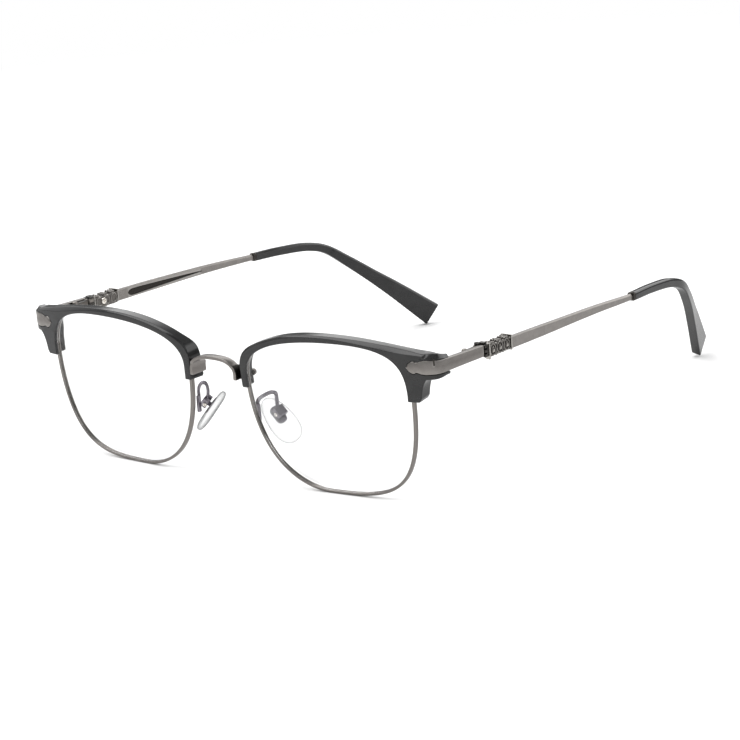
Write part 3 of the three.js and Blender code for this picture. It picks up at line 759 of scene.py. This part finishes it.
# ---- Closing block, where the rim's two ends meet ----
CLOSING_BOX = np.array([[HALF + 0.55, -0.6, 8.2], [HALF + 2.4, 3.1, 12.7]])  # in the lens frame
CLOSING_SPLIT = 10.35


def closing_block(upper):
    low, high = CLOSING_BOX.copy()
    if upper:
        low[2] = CLOSING_SPLIT + 0.05
    else:
        high[2] = CLOSING_SPLIT - 0.05
    return moved(block(*(high - low), (low + high) / 2, 0.2), from_lens)


def closing_screw():
    """The screw's head, sunk in the underside of the lower block."""
    middle = CLOSING_BOX.mean(0)
    head = turned([(0.1, -0.3), (0.55, -0.3), (0.62, -0.2), (0.62, 0.1), (0.1, 0.1)], "z", sides=24)
    slot = block(0.2, 1.6, 0.3, (0, 0, -0.35), 0.02)
    at = [middle[0], middle[1] + 0.4, CLOSING_BOX[0][2]]
    return moved(cut(head, slot), lambda points: from_lens(points + at))


# ---- Bridge ----
def bridge():
    """Arched strip whose ends turn down into plates beside the nasal feet."""
    half = [(7.4, 29.5), (7.35, 31.4), (6.6, 33), (4.5, 34.15), (0, 34.6)]
    points = [(x, 0, z) for x, z in half] + [(-x, 0, z) for x, z in half[-2::-1]]
    path = Path(spline(points))

    def section(place):
        share = abs(2 * place / path.length - 1)
        widen = smoothstep(share, 0.66, 0.77)
        deep = 2.6 + 3.2 * widen
        middle = deep / 2 - 4.1 + 0.3 * widen
        return plate(deep, 0.9, 0.26) + [middle, 0]

    return sweep(path, np.linspace(0, path.length, 120), section, edge=0.3, across=(0, 1, 0))


# ---- Temple ----
TEMPLE = Path(spline([
    (68.55, BAR_START, 36.2), (68.5, 50, 35.7), (67.9, 75, 35), (67.2, BAR_END, 34), (66, 106, 33.5),
    (64.7, 118, 32.2), (63.8, 125.2, 29.9), (61.2, 132.2, 24.9), (55.6, 143.8, 15.1), (48.8, 157.4, 2.35),
]))
BAR_LENGTH = BAR_END - BAR_START
TIP_END = TEMPLE_LENGTH - (BAR_START - HINGE[1])


def bar():
    """Flat bar that tapers to the tip, its upper edges bevelled more and more."""
    height = [(0, 3.15), (8, 3.2), (40, 2.5), (BAR_LENGTH, 1.7)]
    bevel = [(0, 0.16), (10, 0.18), (40, 0.35), (BAR_LENGTH, 0.45)]

    def section(place):
        a, b = BAR_THICKNESS / 2, read(height, place) / 2
        drop = read(bevel, place)
        return rounded([
            (a - 0.2, -b, 0.1), (a, -b + 0.2, 0.1), (a, b - drop, 0.08), (a - drop, b, 0.1),
            (-a + drop, b, 0.1), (-a, b - drop, 0.08), (-a, -b + 0.3, 0.15), (-a + 0.1, -b, 0.15),
        ])

    blank = sweep(TEMPLE, np.linspace(-2, BAR_LENGTH + 0.6, 120), section)
    return cut(blank, bar_recess())


def inner_strip(height, thick, radius, depth, places):
    """A strip along the bar's inner face, with its middle at a depth in the bar."""

    def section(place):
        return plate(thick, read(height, place), radius) - [BAR_THICKNESS / 2 - depth, 0.1]

    return sweep(TEMPLE, places, section)


def bar_recess():
    """Long hollow in the bar's inner face, rounded where it starts and drawn out to a point."""
    height = [(12.2, 0.3), (12.6, 1.2), (13.2, 1.7), (14.2, 1.95), (24, 1.5), (44, 0.3)]
    return inner_strip(height, 0.7, 0.08, 0, runs((12.2, 14.2, 16), (14.7, 44, 40)))


def recess_lining():
    """A black strip along the bottom of the hollow."""
    height = [(12.5, 0.8), (13.2, 1.5), (14.2, 1.75), (24, 1.3), (43, 0.15)]
    return inner_strip(height, 0.3, 0.05, 0.3, runs((12.5, 14.2, 12), (14.7, 43, 40)))


def collar():
    """Ring with a groove, round the bar where it enters the tip."""
    outline = rounded([(1.15, -1.2, 0.5), (1.15, 1.2, 0.8), (-1.15, 1.2, 0.8), (-1.15, -1.2, 0.5)])
    scales = [(0, 0.78), (0.08, 0.92), (0.22, 1), (0.5, 1), (0.62, 0.9), (0.75, 1), (1, 1), (1.1, 0.93)]
    places, scales = (np.array(scales) + [BAR_LENGTH, 0]).T
    return sweep(TEMPLE, places, lambda place: outline * np.interp(place, places, scales))


TIP_START = BAR_LENGTH + 1.15
TIP_CORNER = np.array([50.2, 155.6, 0.2])  # lowest corner of the slanted end, on the outer side
TIP_TWIST = {"left": math.radians(-13), "right": math.radians(12)}  # each tip is set to its own ear
TIP_RISE = {"left": 0.25, "right": 0}
TIP_FACE = unit([-0.7, 0.42, -0.57])  # the way the slanted end faces


def tip_section(place):
    """Round on top near the bar, then flatter, with a narrow facet along the upper inner edge."""
    height = [(TIP_START, 2.3), (TIP_START + 27, 2.6), (TIP_START + 42, 3.5), (TIP_END, 6.2)]
    across = [(TIP_START, 2.3), (TIP_START + 27, 2.45), (TIP_END, 2.6)]
    wider = [(TIP_START + 50, 0), (TIP_END, 1)]  # the paddle widens most along its upper edge
    top_edge = [(TIP_START, 1.1), (TIP_START + 28, 0.85), (TIP_END, 0.55)]
    a, b = read(across, place) / 2, read(height, place) / 2
    top = b + read(wider, place)
    facet = 0.5
    return rounded([
        (a, -b, 0.4), (a, top, read(top_edge, place)), (facet - a, top, 0.15), (-a, top - facet, 0.15),
        (-a, -b, 0.3),
    ], 5)


def tip(turn, rise):
    """Acetate tip: slim and round-topped where it starts, then a paddle with a slanted, pointed end."""

    def twist(place):
        return turn * smoothstep(place, TIP_START + 25, TIP_END)

    corner = TIP_CORNER + [0, 0, rise]
    slant_start = TIP_END - 9
    straight = runs((TIP_START, TIP_START + 1, 5), (TIP_START + 1.5, slant_start, 120))
    size = len(tip_section(TIP_START))
    points = sweep(TEMPLE, straight, tip_section, twist=twist)[0].reshape(-1, size, 3)
    places = np.linspace(slant_start, TIP_END + 7, 120)
    beyond = sweep(TEMPLE, places, tip_section, twist=twist)[0].reshape(-1, size, 3)
    depth = (beyond - corner) @ TIP_FACE
    ends = [np.interp(0, depth[:, j], places) for j in range(size)]  # where each line meets the end face
    slanted = []
    for share in np.linspace(0, 1, 24)[1:]:
        ring = []
        for j in range(size):
            place = slant_start + share * (ends[j] - slant_start)
            ring.append([np.interp(place, places, beyond[:, j, k]) for k in range(3)])
        slanted.append(np.array(ring))
    return loft([*points, *slanted], edge=0.3)


# ---- Ornament: a sleeve round the bar, measured from the hinge axis ----
SLEEVE_FRONT, SLEEVE_BACK = 1.2, 11.3
SLEEVE_LOW, SLEEVE_HIGH = -2.45, 1.75
SLEEVE_INNER, SLEEVE_OUTER = -0.6, 2.95
SLEEVE_MIDDLE = (SLEEVE_LOW + SLEEVE_HIGH) / 2
PLATE_ROOM = 0.45  # from each end of the sleeve to its first hump
HUMP_PITCH = (SLEEVE_BACK - SLEEVE_FRONT - 2 * PLATE_ROOM) / 3
HUMPS = [SLEEVE_FRONT + PLATE_ROOM + HUMP_PITCH * (i + 0.5) for i in range(3)]


def oval_ring(radii, wire, at):
    """A ring of wire in the y-z plane."""
    section = circle(wire, 12)
    rings = []
    for out in np.insert(circle(1, 40), 0, 0, axis=1):
        rings.append(out * [0, *radii] + section[:, :1] * out + section[:, 1:] * [1, 0, 0] + at)
    return loft(rings, closed=True)


def ornament():
    """Sleeve of three humps, each with a boss in a ring on the outer side and beads over its top."""
    middle = SLEEVE_MIDDLE
    centre = (SLEEVE_INNER + SLEEVE_OUTER) / 2
    wide, tall = SLEEVE_OUTER - SLEEVE_INNER, SLEEVE_HIGH - SLEEVE_LOW
    face = SLEEVE_OUTER - 0.5
    core_at = (centre - 0.15, (SLEEVE_FRONT + SLEEVE_BACK) / 2, middle - 0.1)
    parts = [block(wide - 0.85, SLEEVE_BACK - SLEEVE_FRONT - 0.4, tall - 1.1, core_at, 0.3)]
    start, end = -wide / 2 + 0.25, wide / 2 - 0.65
    profile = [(0.1, start), (1.15, start), (1.4, start + 0.25), (1.4, end - 0.2), (1.2, end), (0.1, end)]
    hump = turned(profile, "x", sides=40)
    for y in HUMPS:
        parts.append((hump[0] * [1, 1.02, 1.3] + [centre, y, middle], hump[1]))
        parts.append(oval_ring((1.18, 1.5), 0.2, (face + 0.05, y, middle)))
        parts.append(ball((0.5, 0.72, 0.95), (face - 0.02, y, middle), 24))
        parts.append(oval_ring((1.1, 1.25), 0.2, (SLEEVE_INNER + 0.25, y, middle + 0.1)))
        for x in np.linspace(SLEEVE_INNER + 0.8, SLEEVE_OUTER - 0.75, 4):
            for side in (-0.5, 0.5):
                parts.append(ball((0.3, 0.42, 0.3), (x, y + side, SLEEVE_HIGH - 0.3), 12))
    for i in range(4):
        y = SLEEVE_FRONT + PLATE_ROOM + HUMP_PITCH * i
        for z in (SLEEVE_HIGH - 0.75, SLEEVE_LOW + 0.65):
            parts.append(ball((0.3, 0.34, 0.34), (face, y, z), 12))
    return merged(*parts)


def sleeve_studs():
    """A polished dome on each of the sleeve's three bosses."""
    x, z = SLEEVE_OUTER - 0.17, SLEEVE_MIDDLE - 0.15
    return at_hinge(merged(*[ball((0.3, 0.36, 0.45), (x, y, z), 16) for y in HUMPS]))


def sleeve_plates():
    """The sleeve's two end plates, whose lower inner corners are cut away."""
    inner, outer, high = SLEEVE_INNER + 0.1, SLEEVE_OUTER, SLEEVE_HIGH + 0.05
    plates = []
    for start, low in ((SLEEVE_FRONT, SLEEVE_LOW), (SLEEVE_BACK - 0.4, SLEEVE_LOW + 0.15)):
        outline = rounded([
            (outer, low, 0.15), (outer, high, 0.15), (inner, high, 0.25), (inner, low + 1.3, 0.3),
            (outer - 1.1, low, 0.3),
        ])
        rings = [np.insert(outline, 1, start + y, axis=1) for y in (0.1, 0.3)]
        plates.append(loft(rings, edge=0.1))
    return at_hinge(merged(*plates))


def ornament_screw():
    """Cross-slotted screw on the inner side, which holds the sleeve to the bar."""
    points, faces = screw(0.95, 0.45, 2)
    return at_hinge((points[:, [1, 0, 2]] + [SLEEVE_INNER + 0.2, 5, -0.2], faces))


def hinge_leaf():
    """Front half of the hinge: a plate behind the end piece with a rivet's head on it, and two knuckles."""
    leaf = block(1.3, 6.4, 2.4, (0.3, -4.45, 0.2), 0.15)
    rivet = turned([(0.1, 1.2), (0.75, 1.2), (0.75, 1.8), (0.6, 1.95), (0.1, 2)], "z", (0.3, -6, 0))
    half = 0.49
    profile = [(0.1, -half), (0.92, -half), (0.98, -0.42), (0.98, 0.42), (0.92, half), (0.1, half)]
    knuckles = []
    for z in (-1.07, 1.07):
        knuckles.append(turned(profile, "z", (0, 0, z)))
        knuckles.append(block(1.2, 1.6, 2 * half, (0.3, -0.8, z), 0.1))
    return at_hinge(join(leaf, rivet, *knuckles))


def hinge_cheek():
    """Blackened block between the hinge and the sleeve, with three fingers on its front."""
    low, high = SLEEVE_LOW + 0.9, SLEEVE_HIGH - 0.1
    middle = (low + high) / 2
    back = block(3.1, 0.75, high - low, (1.15, SLEEVE_FRONT - 0.4, middle), 0.12)
    fingers = [block(1.5, 1.2, 0.8, (1.95, 0.3, z), 0.15) for z in (low + 0.42, middle, high - 0.42)]
    return at_hinge(join(back, *fingers))


def hinge_cap():
    """Thin blackened plate over the hinge, and the end of the hinge's pin."""
    strip = block(1.7, 1.5, 0.28, (0.9, 0.95, 1.98), 0.12)
    lip = block(1.7, 0.3, 0.5, (0.9, 0.35, 1.85), 0.12)
    pin = turned([(0.1, 1.4), (0.6, 1.4), (0.68, 1.48), (0.68, 1.74), (0.55, 1.84), (0.1, 1.84)])
    return at_hinge(join(strip, lip, pin))


# ---- Nose pad, in its own frame: x away from the nose, y back, z along the pad ----
PAD_TURN = np.array(
    Matrix.Rotation(PAD_ANGLES[2], 3, "Z") @ Matrix.Rotation(PAD_ANGLES[1], 3, "Y")
    @ Matrix.Rotation(PAD_ANGLES[0], 3, "X")
)
PAD_BOX = np.array([2.5, 0, 1.3])


def from_pad(points):
    return np.asarray(points) @ PAD_TURN.T + PAD_CENTRE


def pad():
    """Drop-shaped silicone pad, domed on both sides."""
    w, h = PAD_WIDTH / 2, PAD_HEIGHT / 2
    right = np.vstack([
        bezier((0, -h), (w * 0.9, -h), (w * 1.05, -h * 0.5), (w, -h * 0.1), count=20)[:-1],
        bezier((w, -h * 0.1), (w * 0.9, h * 0.6), (w * 0.5, h), (0, h), count=20)[:-1],
    ])
    left = np.vstack([[(0, h)], right[:0:-1] * [-1, 1]])
    outline = np.vstack([right, left])
    rings = []
    for t in np.radians(np.linspace(-86, 86, 17)):
        flat = math.copysign(abs(math.sin(t)) ** 0.75, t)
        scale = math.cos(t) ** 0.45
        bow = 0.35 * (outline[:, 0] / w) ** 2 * scale
        rings.append(np.column_stack([flat * PAD_THICKNESS / 2 + bow, outline * scale]))
    return moved(loft(rings), from_pad)


def pad_insert():
    """Metal plate set in the pad, with the ear that the screw holds."""
    x = PAD_THICKNESS / 2 - 0.1
    outline = plate(3.3, 5.2, 1.3, 8)
    rings = []
    for back, scale in ((-0.25, 0.9), (-0.2, 0.98), (0.15, 0.98), (0.22, 0.9)):
        rings.append(np.column_stack([np.full(len(outline), x + back), outline * scale + PAD_BOX[1:]]))
    base = loft(rings)
    neck = block(1.5, 0.8, 1.1, (x + 0.7, 0, PAD_BOX[2]), 0.15)
    ear_at = (PAD_BOX[0] - 0.1, 0, PAD_BOX[2])
    ear = turned([(0.4, -0.4), (0.62, -0.34), (0.62, 0.34), (0.4, 0.4)], "y", ear_at)
    return moved(join(base, neck, ear), from_pad)


def pad_box():
    """Box round the ear, open towards the pad."""
    x, _, z = PAD_BOX
    shell = block(1.85, 2.9, 2.8, (x + 0.25, 0, z + 0.15), 0.2)
    slot = block(2.2, 0.95, 4, (x - 0.5, 0, z), 0.1)
    return moved(cut(shell, slot), from_pad)


def screw(radius, height, slots):
    """A domed screw head along -y with one slot, or two for a cross."""
    dome = turned([
        (radius * 0.96, 0.25), (radius, 0.15), (radius, -height * 0.4), (radius * 0.93, -height * 0.7),
        (radius * 0.7, -height * 0.92), (0.02, -height),
    ], "y")
    cuts = [block(radius * 1.3, height, radius * 0.26, (0, -height, 0), 0.02)]
    if slots == 2:
        cuts.append(block(radius * 0.26, height, radius * 1.3, (0, -height, 0), 0.02))
    return cut(dome, *cuts)


def pad_screw():
    """Screw through the box and the ear."""
    head = screw(0.62, 0.42, 1)
    shank = turned([(0.28, -0.1), (0.28, 2.65)], "y")
    at = np.array([PAD_BOX[0] - 0.1, -1.35, PAD_BOX[2]])
    return moved(join(head, shank), lambda points: from_pad(points + at))


def pad_arm():
    """Wire from its foot on the rim, up and back in a loop, and down into the top of the pad box."""
    box_top = from_pad(PAD_BOX + [0.3, 0, 1.2])
    loop = [
        (10.2, 1.6, 20.2), (10.1, 1.5, 21.9), (10.5, 2, 23.2), (11.4, 3.6, 24), (11.95, 5.5, 24.2),
        (12.05, 6.9, 23.5), (11.9, 7.3, 21.9),
    ]
    path = Path(spline([*loop, box_top]))
    oval = circle(1, 20) * [0.45, 0.55]
    wire = sweep(path, np.linspace(0, path.length, 90), lambda place: oval, 0.15, across=(0.85, -0.5, 0.1))
    foot = block(0.85, 1.2, 4.6, (10.35, 1.5, 19.6), 0.3)
    return join(foot, wire)


# ---- Assembly ----
def build_front():
    pair("brow_shell", brow(), "front", ACETATE, "brow")
    pair("rim_wire", rim(), "front", RIM_METAL, "rim")
    pair("clear_lens", lens(), "front", LENS, "lens")
    pair("end_strip", notched_end_piece(), "front", GUNMETAL, "end_piece")
    # Black block in the slot: painted shade.
    pair("notch_painted_shade", notch_painted_shade(), "front", BLACK_LINING)
    pair("closing_lower", closing_block(False), "front", RIM_METAL, "closing_block_lower")
    pair("closing_upper", closing_block(True), "front", RIM_METAL, "closing_block_upper")
    pair("closing_screw_head", closing_screw(), "front", DARK, "closing_screw")
    pair("hinge_leaf", hinge_leaf(), "front", DARK, "hinge_front_leaf")
    pair("hinge_cap", hinge_cap(), "front", BLACKENED)
    piece("bridge_arch", bridge(), "front", RIM_METAL, ["bridge"])


def build_temples():
    body = "SIDE_temple"
    pair("bar", bar(), body, BAR_METAL, "temple_bar")
    pair("collar", collar(), body, BLACKENED, "tip_collar")
    for side in ("left", "right"):
        shape, nodes = tip(TIP_TWIST[side], TIP_RISE[side]), [f"{side}_temple_tip"]
        mirror = side == "right"
        piece(f"{side}_tip", shape, f"{side}_temple", ACETATE, nodes, mirror=mirror)
    pair("recess_lining", recess_lining(), body, BLACK_LINING)
    pair("carved_sleeve", at_hinge(cast(ornament(), 0.065)), body, CARVED, "ornament", 60)
    pair("sleeve_plates", sleeve_plates(), body, RUBBED_AND_HIGHLIT)
    pair("sleeve_studs", sleeve_studs(), body, RUBBED_AND_HIGHLIT)
    pair("sleeve_screw", ornament_screw(), body, BRIGHT, "ornament_screw")
    pair("hinge_cheek", hinge_cheek(), body, BLACKENED)


def build_pads():
    pair("pad_wire", pad_arm(), "front", PAD_METAL, "pad_arm")
    pair("pad_holder", pad_box(), "front", PAD_METAL, "pad_box")
    pair("pad_screw_head", pad_screw(), "front", BRIGHT, "pad_screw")
    pair("pad_plate", pad_insert(), "SIDE_pad", PAD_METAL, "pad_insert")
    pair("silicone_pad", pad(), "SIDE_pad", SILICONE, "nose_pad")


def dress_cad_nodes():
    """Gives each small CAD piece that is still shown a rounded edge and its metal."""
    sharp = math.radians(35)
    finishes = {"gunmetal": RIM_METAL, "dark_steel": DARK, "brass": BRIGHT}
    slots = {s["node"]: s["material_slot"] for s in frame["record"]["subparts"]}
    for name, node in frame["nodes"].items():
        if node.hide_render:
            continue
        node.data.materials.clear()
        node.data.materials.append(BLACKENED if "hinge" in name else finishes[slots[name]])
        bevel = node.modifiers.new("bevel", "BEVEL")
        bevel.width = 0.07 * MM
        bevel.segments = 2
        bevel.limit_method = "ANGLE"
        bevel.angle_limit = sharp
        node.data.shade_smooth()
        node.data.set_sharp_from_angle(angle=sharp)


# ---- Stage ----
CAMERA_TARGET = np.array([2.03, 60, 15.14])
CAMERA_DISTANCE = 849.8
CAMERA_AZIMUTH, CAMERA_ELEVATION, CAMERA_ROLL = (math.radians(a) for a in (38.476, 14.966, -4.265))
CAMERA_FOCAL = 4.11824  # focal length over picture width


def build_camera():
    data = bpy.data.cameras.new("camera")
    data.sensor_width = 36
    data.lens = data.sensor_width * CAMERA_FOCAL
    data.clip_start, data.clip_end = 0.01, 20
    camera = add_object("camera", data)
    around = Matrix.Rotation(CAMERA_AZIMUTH, 4, "Z")
    down = Matrix.Rotation(math.pi / 2 - CAMERA_ELEVATION, 4, "X")
    roll = Matrix.Rotation(CAMERA_ROLL, 4, "Z")
    target = Matrix.Translation((CAMERA_TARGET + ORIGIN) * MM)
    camera.matrix_world = target @ around @ down @ roll @ Matrix.Translation((0, 0, CAMERA_DISTANCE * MM))
    bpy.context.scene.camera = camera


def build_world():
    """White to the camera. In reflections, a bright screen behind the object in an otherwise dark room."""
    n = Nodes(bpy.data.worlds.new("studio"), "OutputWorld")
    split = n.add("SeparateXYZ", Vector=n.out("TexCoord", socket="Generated"))
    height, forward = split.outputs[2], split.outputs[1]
    above, below = n.spread(height, 0.23, 0.3), n.spread(height, 0.58, 0.7, 1, 0)
    band = n.out("Math", {"operation": "MULTIPLY"}, _0=above, _1=below)
    screen = n.spread(forward, -0.3, 0.4, 0.6, 1.9)
    room = n.spread(height, 0.7, 1, 0.22, 0.6)
    level = n.out("Mix", {"data_type": "FLOAT"}, _0=band, _2=room, _3=screen)
    studio = n.out("Background", Color=(1, 1, 1, 1), Strength=level)
    white = n.out("Background", Color=(1, 1, 1, 1))
    seen = n.out("LightPath", socket="Is Camera Ray")
    bpy.context.scene.world = n.finish(n.out("MixShader", _0=seen, _1=studio, _2=white))


def area_light(name, place, size, power, aim):
    """A rectangular lamp. Places and sizes are in metres."""
    data = bpy.data.lights.new(name, "AREA")
    data.shape = "RECTANGLE"
    data.size, data.size_y = size
    data.energy = power
    light = add_object(name, data)
    light.location = place
    light.rotation_euler = (Vector(aim) - Vector(place)).to_track_quat("-Z", "Y").to_euler()
    return light


def floor_paper():
    """White paper that fades to pure white far off, and is painted greyer where metal and acetate reflect it,
    which paints shade into those reflections.
    """
    n = new_material("floor")
    grain = n.noise(0.02, 2)
    paper = n.mix(n.spread(grain, 0.3, 0.7), (0.93, 0.93, 0.93), (0.95, 0.95, 0.95))
    place = n.add("SeparateXYZ", Vector=n.position())
    across = n.out("Math", {"operation": "ADD"}, _0=place.outputs[0], _1=place.outputs[1])
    # Painted shade in reflections only: glossy rays see a grey floor, darker towards the back right.
    reflection_grey = n.mix(n.spread(across, -60, 60), (0.74, 0.74, 0.74), (0.6, 0.6, 0.6))
    color = n.mix(n.out("LightPath", socket="Is Glossy Ray"), paper, reflection_grey)
    surface = n.out("BsdfPrincipled", Base_Color=color, Roughness=0.9, Specular_IOR_Level=0.1)
    far = n.spread(n.out("VectorMath", {"operation": "LENGTH"}, 1, _0=n.position()), 250, 700)
    seen = n.out("LightPath", socket="Is Camera Ray")
    share = n.out("Math", {"operation": "MULTIPLY"}, _0=far, _1=seen)
    glow = n.out("Emission", Color=(1, 1, 1, 1))
    return n.finish(n.out("MixShader", _0=share, _1=surface, _2=glow))


def build_stage():
    side = 5
    corners = np.array([(-side, -side, 0), (side, -side, 0), (side, side, 0), (-side, side, 0)])
    floor = as_object((corners, [(0, 1, 2, 3)]), "floor")
    floor.data.materials.append(floor_paper())
    area_light("key", (-0.7, -0.7, 1.5), (1.2, 1.2), 14, (0, 0.06, 0.02))
    overhead = area_light("overhead", (0, 0.6, 3), (5, 5), 95, (0, 0.6, 0))
    overhead.visible_glossy = False
    bpy.context.scene.view_settings.view_transform = "Standard"


build_front()
build_temples()
build_pads()
dress_cad_nodes()
build_stage()
build_world()
build_camera()
